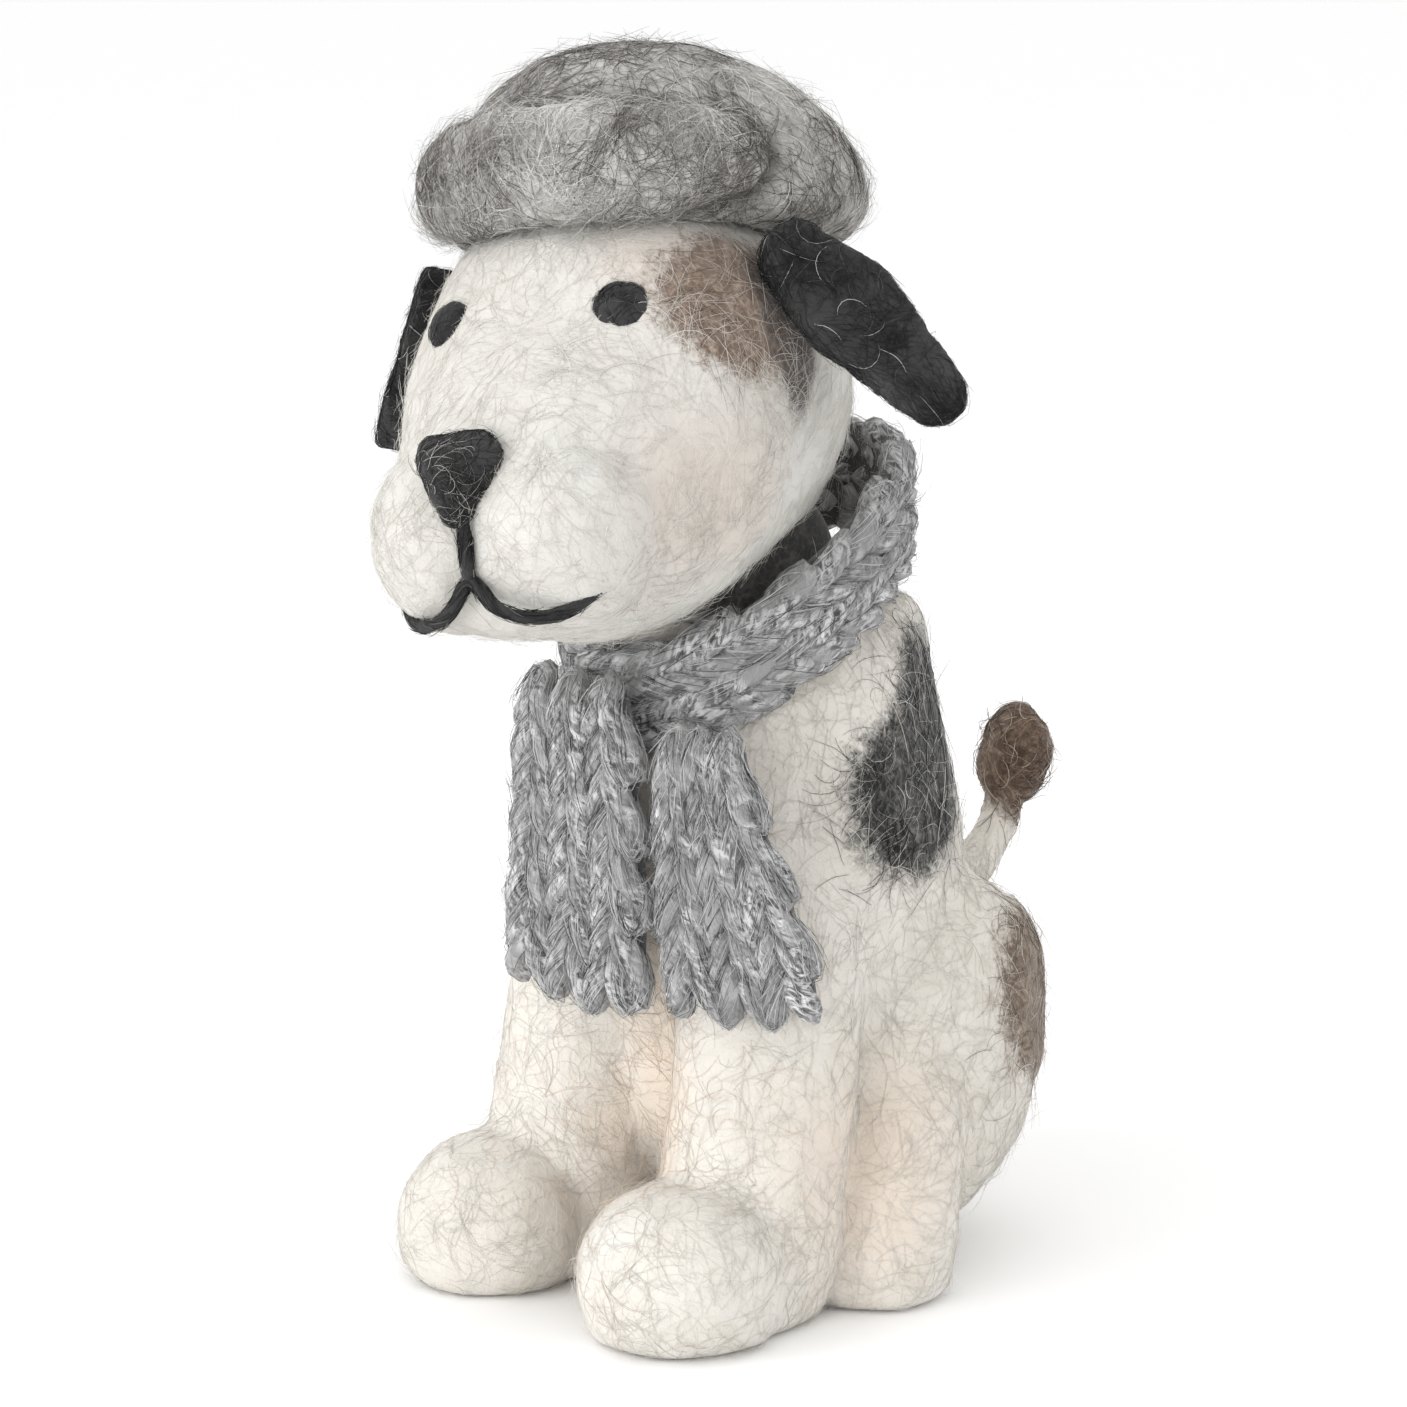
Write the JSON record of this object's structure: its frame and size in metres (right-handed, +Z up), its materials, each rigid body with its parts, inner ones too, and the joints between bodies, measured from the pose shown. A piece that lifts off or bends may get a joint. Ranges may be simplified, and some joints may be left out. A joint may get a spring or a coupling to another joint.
{
  "type": "needle-felted dog figurine",
  "caption": "Seated needle-felted wool dog with black drop ears, a felt flat cap and a short chunky knitted scarf; head, ears, cap, tail and scarf ends move.",
  "frame": {"origin": "on the ground plane, at the middle of the bounding box seen from above", "axes": "+Z up, the dog's chest and front paws face -Y, its left side is +X"},
  "size_m": [0.0755, 0.1108, 0.1438],
  "materials": {
    "cream_wool": "needle-felted wool with loose surface fibres",
    "black_felt": "dense matt wool felt",
    "brown_wool": "loose brown wool laid over cream",
    "grey_felt": "heathered grey wool felt",
    "knit_yarn": "chunky marl yarn, knitted",
    "armature_wire": "annealed craft wire"
  },
  "bodies": {
    "body": {"torso": "cream_wool", "front_leg_left": "cream_wool", "front_leg_right": "cream_wool", "front_paw_left": "cream_wool", "front_paw_right": "cream_wool", "thigh_left": "cream_wool", "thigh_right": "cream_wool", "hind_paw_left": "cream_wool", "hind_paw_right": "cream_wool", "back_patch": "black_felt", "hip_patch": "brown_wool", "spine_wire": "armature_wire", "leg_wire_left": "armature_wire", "leg_wire_right": "armature_wire", "scarf_loop": "knit_yarn"},
    "neck": {"neck_ball": "cream_wool"},
    "head": {"head": "cream_wool", "muzzle_pad_left": "cream_wool", "muzzle_pad_right": "cream_wool", "nose": "black_felt", "muzzle_line": "black_felt", "mouth_line": "black_felt", "eye_left": "black_felt", "eye_right": "black_felt", "brow_patch": "brown_wool"},
    "ear_left": {"ear_left": "black_felt"},
    "ear_right": {"ear_right": "black_felt"},
    "cap": {"cap_crown": "grey_felt", "cap_band": "grey_felt", "cap_peak": "grey_felt"},
    "scarf_end_left": {"scarf_end_left": "knit_yarn"},
    "scarf_end_right": {"scarf_end_right": "knit_yarn"},
    "tail": {"tail_stem": "cream_wool", "tail_tip": "brown_wool", "tail_wire": "armature_wire"}
  },
  "joints": [
    {"name": "head_turn", "type": "hinge", "parent": "body", "child": "neck", "pos_m": [0.00062, -0.00125, 0.083], "axis": [0, 0, 1], "range_deg": [-15, 12]},
    {"name": "head_nod", "type": "hinge", "parent": "neck", "child": "head", "pos_m": [0.00062, -0.00125, 0.083], "axis": [-0.9744, -0.225, 0], "range_deg": [-2, 5]},
    {"name": "ear_left_lift", "type": "hinge", "parent": "head", "child": "ear_left", "pos_m": [0.0181, -0.01425, 0.12371], "axis": [0.225, -0.9744, 0], "range_deg": [0, 40], "stiffness_Nm_per_rad": 0.0008},
    {"name": "ear_right_lift", "type": "hinge", "parent": "head", "child": "ear_right", "pos_m": [-0.02386, -0.02394, 0.11689], "axis": [-0.225, 0.9744, 0], "range_deg": [0, 40], "stiffness_Nm_per_rad": 0.0008},
    {"name": "cap_lift", "type": "slide", "parent": "head", "child": "cap", "axis": [-0.184, 0.1092, 0.9768], "range_m": [0, 0.03]},
    {"name": "scarf_left_swing", "type": "hinge", "parent": "body", "child": "scarf_end_left", "pos_m": [0.01582, -0.02265, 0.0675], "axis": [-0.9781, -0.2079, 0], "range_deg": [0, 70]},
    {"name": "scarf_right_swing", "type": "hinge", "parent": "body", "child": "scarf_end_right", "pos_m": [-0.00138, -0.02515, 0.072], "axis": [-0.9994, 0.0349, 0], "range_deg": [0, 70]},
    {"name": "tail_wag", "type": "hinge", "parent": "body", "child": "tail", "pos_m": [0.00062, 0.03515, 0.0376], "axis": [0, 0, 1], "range_deg": [-30, 30]}
  ]
}
